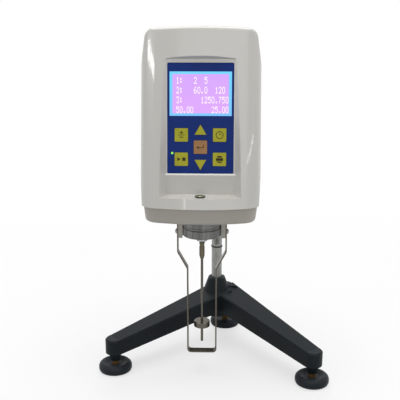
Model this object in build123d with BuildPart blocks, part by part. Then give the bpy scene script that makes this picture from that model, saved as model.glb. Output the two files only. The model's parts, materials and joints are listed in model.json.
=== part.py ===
from build123d import *
from math import cos, pi, radians, sin, tan
import os

os.makedirs("parts", exist_ok=True)

# Rotational viscometer. Millimetres, +Z up, front towards -Y, floor at Z 0.
# The origin is the middle of the footprint. Places on the head are counted
# from the spindle axis, places on the stand from the column axis.

# ---- axes
spindle_x = -12.13
spindle_y = -29.37
column_x = spindle_x + 16.6
column_y = spindle_y + 94.5

# ---- clearances and fits
running_fit = 0.05
key_gap = 0.30
seat_gap = 0.15
press_gap = 0.1
screen_gap = 0.02
backlash = 0.12

# ---- head housing
head_width = 124.6
seam_width = 118.8
shoulder_width = 123.0
crown_width = 112.0
head_base = 205.5
cover_seam = 222.7
shoulder_height = 358.0
crown_edge_height = 397.0
head_top = 399.5
chin_reach = 92.0
crown_reach = 50.0
head_back = 46.0
rear_width = head_width - 12.6
front_bow = 11.0
front_corner = 20.0
rear_corner = 12.0
shell_wall = 3.0
shell_split = -36.0
crown_corner = 11.0
crown_round = 4.0
cover_draft = 2.4
cover_round = 3.5
cover_setback = 0.5
cover_reveal = 0.3
seam_groove_width = 0.8
seam_groove_depth = 0.6
block_margin = 20.0

# ---- control panel, on a plane that leans back
panel_lean = 8.8
panel_y = -62.0
panel_z = 309.8
panel_width = 66.5
panel_height = 110.0
panel_thickness = 1.2
panel_corner = 1.6
recess_top = 58.5
recess_top_draft = 36.0
recess_step = 0.2
recess_reach = 40.0
recess_sink = 8.0
recess_backing = 3.0
recess_top_half = 33.7
recess_top_flare = 1.3
recess_low_half = 34.6
recess_low_flare = 0.55
chin_wall = -72.0
ledge_height = 234.2
ledge_fall = 3.5
lcd_width = 62.0
lcd_height = 43.7
lcd_level = 24.5
lcd_active_width = 56.3
lcd_active_height = 38.8
lcd_recess = 0.4
key_size = 13.35
key_corner = 0.8
key_side = 19.2
key_upper_level = -16.35
key_middle_level = -28.55
key_lower_level = -40.7
arrow_width = 11.7
arrow_height = 10.1
arrow_up_base = -16.1
arrow_down_base = -41.3
key_proud = 0.25
key_thickness = 1.15
stem_diameter = 4.0
stem_length = 1.9
stem_room = 1.5
well_width = 55.0
well_height = 50.6
well_depth = 1.8
guide_thickness = 1.2
led_side = -28.4
led_level = -34.6
led_diameter = 2.2
led_proud = 0.3
board_thickness = 1.6

# ---- spirit level on the chin ledge
level_diameter = 10.5
level_wall = 0.9
level_sink = 4.0
level_proud = 0.6
level_forward = 7.8

# ---- collar, bearing and measuring train
collar_diameter = 45.2
collar_bottom = 169.0
collar_bore = 26.0
collar_edge = 1.0
collar_groove = 0.8
collar_groove_width = 1.6
collar_groove_height = 10.6
cup_bottom = 160.0
cup_tip_radius = 3.4
cup_radius = 6.3
cup_cone = 2.2
cup_top = 186.0
cup_seat_radius = 8.0
cup_seat_depth = 4.0
pivot_diameter = 4.0
coupling_diameter = 6.2
coupling_top = 159.5
coupling_bottom = 140.0
coupling_cone = 4.0
coupling_edge = 1.0
coupling_groove = 0.4
shaft_joint = (coupling_top + coupling_bottom) / 2
spindle_diameter = 3.0
spindle_bottom = 37.0
disc_diameter = 18.7
disc_low = 56.5
disc_high = 63.4
disc_edge = 0.6
plate_thickness = 3.0
lower_plate_width = seam_width - 26.8
lower_plate_depth = 84.0
lower_plate_forward = 18.0
upper_plate_height = 275.0
upper_plate_size = 58.0
pillar_diameter = 7.0
pillar_spread = 24.0
motor_size = 42.0
motor_height = 34.0
drive_shaft_diameter = 5.0
encoder_diameter = 40.0
encoder_thickness = 1.0
drive_disc_height = upper_plate_height - 13.0
pivot_disc_height = upper_plate_height - 33.0
pivot_top = upper_plate_height - 29.0
encoder_slots = 24
encoder_slot_inset = 2.6
encoder_slot_length = 3.0
encoder_slot_width = 1.6
encoder_hub_radius = 5.0
encoder_hub_height = 5.0

# ---- guard around the spindle
guard_thickness = 1.6
guard_width = 9.0
guard_upper_half = 27.4
guard_lower_half = 16.4
guard_top = 186.0
guard_bend_high = 149.0
guard_bend_low = 129.0
guard_bottom = 25.0
guard_bend_radius = 4.0
pad_bottom = 166.2
pad_inner = 16.0
pad_extra_width = 3.0
guard_screw_height = 172.6
guard_screw_head = 5.8
guard_screw_head_length = 2.4
guard_screw_diameter = 3.0

# ---- column and rack
column_diameter = 13.0
column_top = 388.0
column_spigot = 10.0
rack_low = 127.0
rack_high = 376.0
gear_module = 0.5
pressure_angle = 20.0
pinion_teeth = 36
pinion_width = 8.0
stop_ring_diameter = 14.4
stop_ring_low = 123.0
stop_ring_height = 1.4

# ---- lift block
block_left = -18.0
block_right = 34.0
block_front = 63.0
block_back = 113.0
pinion_height = 268.0
stub_height = pinion_height + 31.0
lock_height = pinion_height + 24.0
block_low = pinion_height - 16.0
block_high = stub_height + 19.0
block_round = 5.0
block_edge = 1.2
stub_diameter = 15.0
flange_diameter = 46.0
flange_thickness = 6.0
pinion_shaft_diameter = 6.0
lift_knob_diameter = 36.0
lift_knob_length = 18.0
clamp_knob_diameter = 22.0
clamp_knob_length = 14.0
knob_clearance = 0.6
knob_flutes = 20
clamp_knob_flutes = 12
flute_rise = 0.4
lift_flute_radius = 1.6
clamp_flute_radius = 1.2

# ---- base
vertex_x = column_x + 7.6
vertex_y = column_y + 1.5
arm_length = 160.8
arm_half_angle = 46.0
base_turn = -6.2
tail_length = 34.3
hub_low = 36.0
hub_high = 82.0
hub_low_radius = 23.0
hub_high_radius = 10.5
hub_rim = 12.0
arm_hub_half = 19.0
arm_hub_low = 45.4
arm_hub_top = 69.1
arm_end_half = 11.1
arm_end_low = 23.0
arm_end_top = 40.7
arm_edge = 1.6
tail_end_top = 58.0
neck_foot_diameter = 10.6
neck_diameter = 16.0
neck_bottom = 13.0
foot_diameter = 39.0
foot_height = 11.0
foot_rim = 3.0
foot_dish = 2.4
foot_boss = 4.5
stud_diameter = 8.0
stud_top = 32.0
nut_across = 17.0
nut_height = 6.0
nut_seat = 40.0
nut_pocket_diameter = 24.0
washer_thickness = 1.5

# ---- worked out
pitch_radius = gear_module * pinion_teeth / 2
tooth_pitch = gear_module * pi
pinion_y = column_y - column_diameter / 2 + gear_module - pitch_radius
lean = radians(panel_lean)
panel_plane = Plane(
    origin=(spindle_x, spindle_y + panel_y, panel_z),
    x_dir=(1, 0, 0),
    z_dir=(0, -cos(lean), sin(lean)),
)


def level(x, y, height):
    return Plane(origin=(x, y, height))


def facing_front(x, y, height):
    return Plane(origin=(x, y, height), x_dir=(1, 0, 0), z_dir=(0, -1, 0))


def facing_back(x, y, height):
    return Plane(origin=(x, y, height), x_dir=(-1, 0, 0), z_dir=(0, 1, 0))


def facing_right(x, y, height):
    return Plane(origin=(x, y, height), x_dir=(0, 1, 0), z_dir=(1, 0, 0))


def finish(piece, name):
    piece.part.label = name
    export_step(piece.part, f"parts/{name}.step")


# ---- head housing: one bowed, leaning block, made hollow and split in two
def plan_outline(reach, inset):
    """Plan of the head: a bowed front, straight tapering sides and a flat back."""
    half = head_width / 2
    back_half = rear_width / 2
    with BuildSketch() as outline:
        with BuildLine():
            ThreePointArc((-half, front_bow - reach), (0, -reach), (half, front_bow - reach))
            Line((half, front_bow - reach), (back_half, head_back))
            Line((back_half, head_back), (-back_half, head_back))
            Line((-back_half, head_back), (-half, front_bow - reach))
        make_face()
        fillet(outline.vertices().sort_by(Axis.Y)[:2], radius=front_corner)
        fillet(outline.vertices().sort_by(Axis.Y)[-2:], radius=rear_corner)
        if inset:
            offset(amount=-inset, mode=Mode.REPLACE)
    return outline.sketch


def front_outline(inset):
    """The head seen from the front: bowed sides, round shoulders and a low crown."""
    side_height = (cover_seam + shoulder_height) / 2
    with BuildSketch() as outline:
        with BuildLine():
            Line((-seam_width / 2, cover_seam), (seam_width / 2, cover_seam))
            ThreePointArc(
                (seam_width / 2, cover_seam),
                (head_width / 2, side_height),
                (shoulder_width / 2, shoulder_height),
            )
            Line((shoulder_width / 2, shoulder_height), (crown_width / 2, crown_edge_height))
            ThreePointArc(
                (crown_width / 2, crown_edge_height),
                (0, head_top),
                (-crown_width / 2, crown_edge_height),
            )
            Line((-crown_width / 2, crown_edge_height), (-shoulder_width / 2, shoulder_height))
            ThreePointArc(
                (-shoulder_width / 2, shoulder_height),
                (-head_width / 2, side_height),
                (-seam_width / 2, cover_seam),
            )
        make_face()
        fillet(outline.vertices().sort_by(Axis.Y)[-2:], radius=crown_corner)
        if inset:
            offset(amount=-inset, mode=Mode.REPLACE)
            with Locations((0, cover_seam)):
                Rectangle(
                    seam_width - 2 * inset, 3 * inset, align=(Align.CENTER, Align.CENTER)
                )
    return outline.sketch


def head_block(inset):
    """The housing's outside, or with an inset the space inside it."""
    with BuildPart() as block:
        with BuildSketch(level(spindle_x, spindle_y, cover_seam - 5)):
            add(plan_outline(chin_reach, inset))
        with BuildSketch(level(spindle_x, spindle_y, head_top + 1)):
            add(plan_outline(crown_reach, inset))
        loft(ruled=True)
        with BuildSketch(facing_front(spindle_x, spindle_y, 0)):
            add(front_outline(inset))
        extrude(amount=2 * chin_reach, both=True, mode=Mode.INTERSECT)
        if not inset:
            crown_edges = block.edges().filter_by_position(Axis.Z, head_top - 12, head_top + 1)
            fillet(crown_edges, radius=crown_round)
    return block.part


def on_panel(along, out):
    """Depth and height of a point in the side view, from its level and offset on the panel."""
    return (
        panel_y + along * sin(lean) - out * cos(lean),
        panel_z + along * cos(lean) + out * sin(lean),
    )


def recess_sides(margin, out):
    """The recess's outline at an offset from the panel: its sides flare more at the top."""
    low_level = ledge_height - panel_z - block_margin
    top_level = recess_top + margin + (recess_reach + recess_sink) * tan(radians(recess_top_draft))
    low_half = recess_low_half + margin + recess_low_flare * out
    flare = (recess_top_flare - recess_low_flare) / (recess_top + panel_height / 2)
    top_flare = recess_low_flare + flare * (top_level + panel_height / 2)
    narrowing = (recess_top_half - recess_low_half) / (recess_top + panel_height / 2)
    top_half = recess_low_half + narrowing * (top_level + panel_height / 2) + margin + top_flare * out
    with BuildSketch(panel_plane.offset(out)) as outline:
        Polygon(
            (-low_half, low_level),
            (low_half, low_level),
            (top_half, top_level),
            (-top_half, top_level),
            align=None,
        )
    return outline.sketch


def recess_block(margin, floor):
    """The sunken control area as a solid that opens forwards, from a floor depth outwards."""
    rise = (recess_reach - floor) * tan(radians(recess_top_draft))
    lip_y, lip_z = on_panel(-panel_height / 2 - seat_gap, floor)
    wall_y = chin_wall + margin
    ledge_z = ledge_height - margin
    fall = recess_reach * tan(radians(ledge_fall))
    with BuildPart() as block:
        with BuildSketch(facing_right(spindle_x, spindle_y, 0)):
            Polygon(
                on_panel(recess_top + margin, floor),
                on_panel(recess_top + margin + rise, recess_reach),
                (wall_y - recess_reach, ledge_z - fall),
                (wall_y, ledge_z),
                (wall_y, lip_z - abs(wall_y - lip_y)),
                (lip_y, lip_z),
                align=None,
            )
        extrude(amount=head_width, both=True)
        with BuildPart(mode=Mode.INTERSECT):
            add(recess_sides(margin, -recess_sink))
            add(recess_sides(margin, recess_reach))
            loft(ruled=True)
    return block.part


def arrow(base_level, height, grow):
    """A triangular key outline, pointing up for a positive height, grown all round."""
    with BuildSketch() as outline:
        with BuildLine():
            Polyline(
                (-arrow_width / 2, base_level),
                (arrow_width / 2, base_level),
                (0, base_level + height),
                close=True,
            )
        make_face()
        if grow:
            offset(amount=grow, mode=Mode.REPLACE)
    return outline.sketch


def square_key(side, key_level, grow):
    with BuildSketch() as outline:
        with Locations((side, key_level)):
            RectangleRounded(key_size + 2 * grow, key_size + 2 * grow, key_corner + grow)
    return outline.sketch


def key_outline(name, grow):
    if name == "key_up":
        return arrow(arrow_up_base, arrow_height, grow)
    if name == "key_down":
        return arrow(arrow_down_base, -arrow_height, grow)
    side, key_level = key_centres[name]
    return square_key(side, key_level, grow)


key_centres = {
    "key_upper_left": (-key_side, key_upper_level),
    "key_upper_right": (key_side, key_upper_level),
    "key_enter": (0.0, key_middle_level),
    "key_lower_left": (-key_side, key_lower_level),
    "key_lower_right": (key_side, key_lower_level),
    "key_up": (0.0, arrow_up_base + arrow_height * 0.36),
    "key_down": (0.0, arrow_down_base - arrow_height * 0.36),
}
well_level = (key_upper_level + key_lower_level) / 2
wall_back = -panel_thickness - recess_backing
level_y = spindle_y + chin_wall - level_forward
level_seat = ledge_height - level_forward * tan(radians(ledge_fall))

outer = head_block(0)
hollow = head_block(shell_wall)


def split_half(side):
    """A block that fills everything in front of (-1) or behind (1) the shells' seam."""
    with BuildPart() as half:
        with BuildSketch(level(spindle_x, spindle_y + shell_split, cover_seam - block_margin)):
            with Locations((0, side * chin_reach)):
                Rectangle(2 * head_width, 2 * chin_reach)
        extrude(amount=head_top)
    return half.part


def seam_groove():
    """A shallow ring all round the head where its two shells meet."""
    with BuildPart() as ring:
        add(outer)
        add(head_block(seam_groove_depth), mode=Mode.SUBTRACT)
        with BuildSketch(level(spindle_x, spindle_y + shell_split, cover_seam - block_margin)):
            Rectangle(2 * head_width, seam_groove_width)
        extrude(amount=head_top, mode=Mode.INTERSECT)
    return ring.part


def recess_backing_block():
    """The wall behind the control area, trimmed to the head's outside."""
    with BuildPart() as block:
        add(recess_block(recess_backing, wall_back))
        add(outer, mode=Mode.INTERSECT)
    return block.part


recess_wall = recess_backing_block()
seam_ring = seam_groove()

with BuildPart() as front_shell:
    add(outer)
    add(hollow, mode=Mode.SUBTRACT)
    add(recess_wall)
    add(recess_block(0, recess_step), mode=Mode.SUBTRACT)
    add(split_half(1), mode=Mode.SUBTRACT)
    add(seam_ring, mode=Mode.SUBTRACT)
    with BuildSketch(panel_plane.offset(-panel_thickness)):
        Rectangle(panel_width + 2 * seat_gap, panel_height + 2 * seat_gap)
    extrude(amount=panel_thickness + 2 * recess_step, mode=Mode.SUBTRACT)
    with BuildSketch(panel_plane.offset(-panel_thickness)):
        with Locations((0, well_level)):
            Rectangle(well_width, well_height)
    extrude(amount=-well_depth, mode=Mode.SUBTRACT)
    with BuildSketch(panel_plane.offset(wall_back)):
        with Locations((0, lcd_level)):
            Rectangle(lcd_active_width + 2 * seat_gap, lcd_active_height + 2 * seat_gap)
        with Locations([centre for centre in key_centres.values()]):
            Circle(stem_diameter / 2 + stem_room)
        with Locations((led_side, led_level)):
            Circle(led_diameter / 2 + seat_gap)
    extrude(amount=recess_backing + 1, mode=Mode.SUBTRACT)
    with BuildSketch(level(spindle_x, level_y, level_seat + 1)):
        Circle(level_diameter / 2 + seat_gap)
    extrude(amount=-level_sink - 1, mode=Mode.SUBTRACT)
finish(front_shell, "front_shell")


# sockets across the back, low down: switch, power inlet, serial port, probe socket
socket_level = 240.0
switch_side = 22.0 - rear_width / 2
inlet_side = -10.0
serial_side = 13.0
probe_side = rear_width / 2 - 20.0
switch_width = 13.0
switch_height = 19.0
inlet_diameter = 11.0
serial_width = 18.0
serial_height = 10.0
probe_diameter = 12.0
socket_depth = 13.0
socket_rim = 1.6
socket_rim_width = 1.8
socket_corner = 1.0
socket_nut_margin = 2.2
shell_screw_side = 44.0
shell_screw_low = 262.0
shell_screw_high = 372.0
shell_screw_head = 7.0
shell_screw_diameter = 4.0
shell_screw_sink = 2.0
shell_screw_room = 0.4
shell_screw_length = 8.0
flange_screw_circle = 33.0
flange_screw_diameter = 4.0
flange_screw_head = 7.0
flange_screw_head_height = 3.0
flange_screw_core = 2.6
flange_round = 1.5
back_y = spindle_y + head_back

with BuildPart() as rear_shell:
    add(outer)
    add(hollow, mode=Mode.SUBTRACT)
    add(split_half(-1), mode=Mode.SUBTRACT)
    add(seam_ring, mode=Mode.SUBTRACT)
    with BuildSketch(facing_back(spindle_x, back_y, 0)):
        with Locations((-switch_side, socket_level)):
            Rectangle(switch_width + 2 * press_gap, switch_height + 2 * press_gap)
        with Locations((-inlet_side, socket_level)):
            Circle(inlet_diameter / 2 + press_gap)
        with Locations((-serial_side, socket_level)):
            RectangleRounded(serial_width + 2 * press_gap, serial_height + 2 * press_gap, socket_corner)
        with Locations((-probe_side, socket_level)):
            Circle(probe_diameter / 2 + press_gap)
        with Locations(
            [(side, height) for side in (-shell_screw_side, shell_screw_side)
             for height in (shell_screw_low, shell_screw_high)]
        ):
            Circle(shell_screw_diameter / 2)
        with Locations((0, stub_height)):
            with PolarLocations(flange_screw_circle / 2, 4, start_angle=45):
                Circle(flange_screw_diameter / 2)
    extrude(amount=-2 * shell_wall, mode=Mode.SUBTRACT)
    with BuildSketch(facing_back(spindle_x, back_y, 0)):
        with Locations(
            [(side, height) for side in (-shell_screw_side, shell_screw_side)
             for height in (shell_screw_low, shell_screw_high)]
        ):
            Circle(shell_screw_head / 2 + shell_screw_room)
    extrude(amount=-shell_screw_sink, mode=Mode.SUBTRACT)
finish(rear_shell, "rear_shell")

# ---- bottom cover, a tray that closes the head
side_inset = (head_width - seam_width) / 2
with BuildPart() as bottom_cover:
    with BuildSketch(level(spindle_x, spindle_y, head_base)):
        add(plan_outline(chin_reach - cover_setback, side_inset + cover_draft))
    with BuildSketch(level(spindle_x, spindle_y, cover_seam)):
        add(plan_outline(chin_reach - cover_setback, side_inset + cover_reveal))
    loft(ruled=True)
    fillet(bottom_cover.edges().group_by(Axis.Z)[0], radius=cover_round)
    with BuildSketch(level(spindle_x, spindle_y, head_base + shell_wall)):
        add(plan_outline(chin_reach, side_inset + cover_draft + shell_wall))
    extrude(amount=cover_seam, mode=Mode.SUBTRACT)
    with BuildSketch(level(spindle_x, spindle_y, head_base)):
        Circle(collar_bore / 2 + shell_wall)
    extrude(amount=2 * shell_wall, mode=Mode.SUBTRACT)
finish(bottom_cover, "bottom_cover")

# ---- control panel pieces, all on the leaning plane
with BuildPart() as control_panel:
    with BuildSketch(panel_plane.offset(-panel_thickness)):
        RectangleRounded(panel_width, panel_height, panel_corner)
        with Locations((0, lcd_level)):
            Rectangle(lcd_width + press_gap, lcd_height + press_gap, mode=Mode.SUBTRACT)
        for key_name in key_centres:
            add(key_outline(key_name, key_gap), mode=Mode.SUBTRACT)
        with Locations((led_side, led_level)):
            Circle(led_diameter / 2 + seat_gap, mode=Mode.SUBTRACT)
    extrude(amount=panel_thickness)
finish(control_panel, "control_panel")

with BuildPart() as display_border:
    with BuildSketch(panel_plane.offset(-panel_thickness)):
        with Locations((0, lcd_level)):
            Rectangle(lcd_width, lcd_height)
            Rectangle(lcd_active_width, lcd_active_height, mode=Mode.SUBTRACT)
    extrude(amount=panel_thickness - lcd_recess / 2)
finish(display_border, "display_border")

with BuildPart() as display_screen:
    with BuildSketch(panel_plane.offset(wall_back)):
        with Locations((0, lcd_level)):
            Rectangle(lcd_active_width - 2 * screen_gap, lcd_active_height - 2 * screen_gap)
    extrude(amount=-wall_back - lcd_recess)
finish(display_screen, "display_screen")


def panel_board(width, height, board_level):
    """A circuit board that lies against the back of the control area's wall."""
    with BuildPart() as board:
        with BuildSketch(panel_plane.offset(wall_back)):
            with Locations((0, board_level)):
                Rectangle(width, height)
        extrude(amount=-board_thickness)
    return board


display_board = panel_board(lcd_width + 2, lcd_height + 6, lcd_level)
finish(display_board, "display_board")

key_board = panel_board(well_width + 6, well_height - 2, well_level - 0.8)
finish(key_board, "key_board")

with BuildPart() as key_guide:
    with BuildSketch(panel_plane.offset(-panel_thickness - well_depth)):
        with Locations((0, well_level)):
            Rectangle(well_width - 2 * press_gap, well_height - 2 * press_gap)
        with Locations([centre for centre in key_centres.values()]):
            Circle(stem_diameter / 2 + running_fit, mode=Mode.SUBTRACT)
        with Locations((led_side, led_level)):
            Circle(led_diameter / 2 + seat_gap, mode=Mode.SUBTRACT)
    extrude(amount=guide_thickness)
finish(key_guide, "key_guide")

key_back = key_proud - key_thickness
for key_name, key_centre in key_centres.items():
    with BuildPart() as key:
        with BuildSketch(panel_plane.offset(key_back)):
            add(key_outline(key_name, 0))
        extrude(amount=key_thickness)
        with BuildSketch(panel_plane.offset(key_back)):
            with Locations(key_centre):
                Circle(stem_diameter / 2)
        extrude(amount=-stem_length)
    finish(key, key_name)

with BuildPart() as status_led:
    with BuildSketch(panel_plane.offset(wall_back)):
        with Locations((led_side, led_level)):
            Circle(led_diameter / 2)
    extrude(amount=led_proud - wall_back)
    fillet(status_led.edges().group_by(Axis.Y)[0], radius=led_proud)
finish(status_led, "status_led")

# ---- round spirit level let into the chin ledge
with BuildPart() as level_cup:
    with BuildSketch(level(spindle_x, level_y, level_seat - level_sink)):
        Circle(level_diameter / 2)
    extrude(amount=level_sink + level_proud)
    with BuildSketch(level(spindle_x, level_y, level_seat - level_sink + level_wall)):
        Circle(level_diameter / 2 - level_wall)
    extrude(amount=level_sink, mode=Mode.SUBTRACT)
finish(level_cup, "level_cup")

with BuildPart() as level_vial:
    with BuildSketch(level(spindle_x, level_y, level_seat - level_sink + level_wall)):
        Circle(level_diameter / 2 - level_wall)
    extrude(amount=level_sink - level_wall + level_proud / 2)
finish(level_vial, "level_vial")


# ---- turned pieces on the spindle axis
def turned(x, y, outline):
    """A piece turned about an upright axis from its half profile of radius and height."""
    with BuildPart() as piece:
        with BuildSketch(facing_front(x, y, 0)):
            with BuildLine():
                Polyline(*outline, close=True)
            make_face()
        revolve(axis=Axis((x, y, 0), (0, 0, 1)))
    return piece


collar_radius = collar_diameter / 2
bore_radius = collar_bore / 2
spigot_radius = bore_radius + shell_wall - running_fit
groove_middle = collar_bottom + collar_groove_height
collar = turned(
    spindle_x,
    spindle_y,
    [
        (bore_radius, collar_bottom),
        (collar_radius - collar_edge, collar_bottom),
        (collar_radius, collar_bottom + collar_edge),
        (collar_radius, groove_middle - collar_groove_width),
        (collar_radius - collar_groove, groove_middle - collar_groove_width / 2),
        (collar_radius - collar_groove, groove_middle + collar_groove_width / 2),
        (collar_radius, groove_middle + collar_groove_width),
        (collar_radius, head_base),
        (spigot_radius, head_base),
        (spigot_radius, head_base + shell_wall),
        (bore_radius, head_base + shell_wall),
    ],
)
finish(collar, "collar")

pivot_radius = pivot_diameter / 2
bearing_cup = turned(
    spindle_x,
    spindle_y,
    [
        (pivot_radius + running_fit, cup_bottom),
        (cup_tip_radius, cup_bottom),
        (cup_radius, cup_bottom + cup_cone),
        (cup_radius, collar_bottom),
        (bore_radius, collar_bottom),
        (bore_radius, cup_top),
        (cup_seat_radius, cup_top),
        (cup_seat_radius, cup_top - cup_seat_depth),
        (pivot_radius + running_fit, cup_top - cup_seat_depth),
    ],
)
finish(bearing_cup, "bearing_cup")

pivot_shaft = turned(
    spindle_x,
    spindle_y,
    [
        (0, shaft_joint),
        (pivot_radius, shaft_joint),
        (pivot_radius, pivot_top - pivot_radius / 2),
        (pivot_radius / 2, pivot_top),
        (0, pivot_top),
    ],
)
finish(pivot_shaft, "pivot_shaft")

shaft_radius = spindle_diameter / 2
coupling_radius = coupling_diameter / 2
spindle_coupling = turned(
    spindle_x,
    spindle_y,
    [
        (shaft_radius, coupling_bottom),
        (shaft_radius + coupling_groove, coupling_bottom),
        (coupling_radius, coupling_bottom + coupling_cone),
        (coupling_radius, coupling_top - 5 * coupling_edge),
        (coupling_radius - coupling_groove, coupling_top - 4.4 * coupling_edge),
        (coupling_radius - coupling_groove, coupling_top - 2.6 * coupling_edge),
        (coupling_radius, coupling_top - 2 * coupling_edge),
        (coupling_radius, coupling_top),
        (pivot_radius, coupling_top),
        (pivot_radius, shaft_joint),
        (shaft_radius, shaft_joint),
    ],
)
finish(spindle_coupling, "spindle_coupling")

disc_radius = disc_diameter / 2
spindle = turned(
    spindle_x,
    spindle_y,
    [
        (0, spindle_bottom),
        (shaft_radius - disc_edge, spindle_bottom),
        (shaft_radius, spindle_bottom + disc_edge),
        (shaft_radius, disc_low),
        (disc_radius - disc_edge, disc_low),
        (disc_radius, disc_low + disc_edge),
        (disc_radius, disc_high - disc_edge),
        (disc_radius - disc_edge, disc_high),
        (shaft_radius, disc_high),
        (shaft_radius, shaft_joint),
        (0, shaft_joint),
    ],
)
finish(spindle, "spindle")

# ---- guard: a bent flat strip, two pads and two screws
with BuildPart() as guard:
    with BuildSketch(facing_front(spindle_x, spindle_y, 0)):
        with BuildLine() as guard_path:
            FilletPolyline(
                (-guard_upper_half, guard_top),
                (-guard_upper_half, guard_bend_high),
                (-guard_lower_half, guard_bend_low),
                (-guard_lower_half, guard_bottom),
                (guard_lower_half, guard_bottom),
                (guard_lower_half, guard_bend_low),
                (guard_upper_half, guard_bend_high),
                (guard_upper_half, guard_top),
                radius=guard_bend_radius,
            )
        trace(line_width=guard_thickness)
    extrude(amount=guard_width / 2, both=True)
    with BuildSketch(facing_right(spindle_x, spindle_y, 0)):
        with Locations((0, guard_screw_height)):
            Circle(guard_screw_diameter / 2)
    extrude(amount=2 * guard_upper_half, both=True, mode=Mode.SUBTRACT)
finish(guard, "guard")

pad_outer = guard_upper_half - guard_thickness / 2
with BuildPart() as guard_pads:
    for side in (-1, 1):
        with BuildSketch(level(spindle_x, spindle_y, pad_bottom)):
            with Locations((side * (pad_outer + pad_inner) / 2, 0)):
                Rectangle(pad_outer - pad_inner, guard_width + pad_extra_width)
            Circle(collar_radius, mode=Mode.SUBTRACT)
        extrude(amount=guard_top - pad_bottom)
    with BuildSketch(facing_right(spindle_x, spindle_y, 0)):
        with Locations((0, guard_screw_height)):
            Circle(guard_screw_diameter / 2)
    extrude(amount=2 * guard_upper_half, both=True, mode=Mode.SUBTRACT)
finish(guard_pads, "guard_pads")

guard_face = guard_upper_half + guard_thickness / 2
with BuildPart() as guard_screws:
    for side in (-1, 1):
        with BuildSketch(facing_right(spindle_x + side * guard_face, spindle_y, guard_screw_height)):
            Circle(guard_screw_head / 2)
        extrude(amount=side * guard_screw_head_length)
        with BuildSketch(facing_right(spindle_x + side * guard_face, spindle_y, guard_screw_height)):
            Circle(guard_screw_diameter / 2)
        extrude(amount=-side * (guard_face - collar_radius))
finish(guard_screws, "guard_screws")


# ---- sockets and switch in the back
def socket_body(side, outline_width, outline_height, opening_width, opening_height, depth):
    """A rimmed rectangular housing let into the back wall, open at the back."""
    with BuildPart() as body:
        with BuildSketch(facing_back(spindle_x, back_y, 0)):
            with Locations((-side, socket_level)):
                RectangleRounded(
                    outline_width + 2 * socket_rim_width,
                    outline_height + 2 * socket_rim_width,
                    2 * socket_corner,
                )
        extrude(amount=socket_rim)
        with BuildSketch(facing_back(spindle_x, back_y, 0)):
            with Locations((-side, socket_level)):
                RectangleRounded(outline_width, outline_height, socket_corner)
        extrude(amount=-socket_depth)
        with BuildSketch(facing_back(spindle_x, back_y + socket_rim, 0)):
            with Locations((-side, socket_level)):
                Rectangle(opening_width, opening_height)
        extrude(amount=-depth, mode=Mode.SUBTRACT)
    return body


def round_socket(side, diameter, hole, pin):
    """A threaded round socket with a pin in its middle."""
    with BuildPart() as body:
        with BuildSketch(facing_back(spindle_x, back_y, 0)):
            with Locations((-side, socket_level)):
                RegularPolygon(diameter / 2 + socket_nut_margin, 6)
        extrude(amount=socket_rim)
        with BuildSketch(facing_back(spindle_x, back_y - socket_depth, 0)):
            with Locations((-side, socket_level)):
                Circle(diameter / 2)
        extrude(amount=socket_depth + 2 * socket_rim)
        with BuildSketch(facing_back(spindle_x, back_y - socket_depth + 2, 0)):
            with Locations((-side, socket_level)):
                Circle(hole / 2)
                Circle(pin / 2, mode=Mode.SUBTRACT)
        extrude(amount=2 * socket_depth, mode=Mode.SUBTRACT)
    return body


rocker_width = 9.0
rocker_height = 14.0
rocker_gap = 0.4
rocker_depth = 8.0
rocker_root = 2.4
rocker_low = 0.6
rocker_waist = 2.9
rocker_high = 1.6
rocker_lip = 2.2
rocker_edge = 0.9
rocker_pin_diameter = 2.0
rocker_pin_wall = 0.6
rocker_pin_y = back_y - 1.0
switch_housing = socket_body(
    switch_side,
    switch_width,
    switch_height,
    rocker_width + 2 * rocker_gap,
    rocker_height + 2 * rocker_gap,
    rocker_depth + socket_rim,
)
with BuildPart() as switch_housing_bored:
    add(switch_housing.part)
    with BuildSketch(facing_right(spindle_x + switch_side, rocker_pin_y, socket_level)):
        Circle(rocker_pin_diameter / 2 + running_fit)
    extrude(amount=switch_width / 2 - rocker_pin_wall, both=True, mode=Mode.SUBTRACT)
finish(switch_housing_bored, "switch_housing")

with BuildPart() as switch_rocker:
    with BuildSketch(facing_right(spindle_x + switch_side, rocker_pin_y, socket_level)):
        with BuildLine():
            Polyline(
                (-rocker_root, -rocker_pin_diameter),
                (rocker_low, rocker_edge - rocker_height / 2),
                (rocker_low + rocker_lip, rocker_edge / 2 - rocker_height / 2),
                (rocker_waist, 0),
                (rocker_high + rocker_lip, rocker_height / 2 - rocker_edge),
                (rocker_high, rocker_height / 2 - rocker_edge / 2),
                (-rocker_root, rocker_pin_diameter),
                close=True,
            )
        make_face()
    extrude(amount=rocker_width / 2, both=True)
    with BuildSketch(facing_right(spindle_x + switch_side, rocker_pin_y, socket_level)):
        Circle(rocker_pin_diameter / 2)
    extrude(amount=switch_width / 2 - rocker_pin_wall - rocker_gap, both=True)
finish(switch_rocker, "switch_rocker")

power_inlet = round_socket(inlet_side, inlet_diameter, 6.4, 2.1)
finish(power_inlet, "power_inlet")
probe_socket = round_socket(probe_side, probe_diameter, 8.0, 3.0)
finish(probe_socket, "probe_socket")
serial_port = socket_body(serial_side, serial_width, serial_height, 14.5, 6.5, 6.0)
finish(serial_port, "serial_port")

with BuildPart() as shell_screws:
    with BuildSketch(facing_back(spindle_x, back_y - shell_screw_sink, 0)):
        with Locations(
            [(side, height) for side in (-shell_screw_side, shell_screw_side)
             for height in (shell_screw_low, shell_screw_high)]
        ):
            Circle(shell_screw_head / 2)
    extrude(amount=shell_screw_sink)
    with BuildSketch(facing_back(spindle_x, back_y - shell_screw_sink, 0)):
        with Locations(
            [(side, height) for side in (-shell_screw_side, shell_screw_side)
             for height in (shell_screw_low, shell_screw_high)]
        ):
            Circle(shell_screw_diameter / 2)
    extrude(amount=-shell_screw_length)
finish(shell_screws, "shell_screws")

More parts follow.
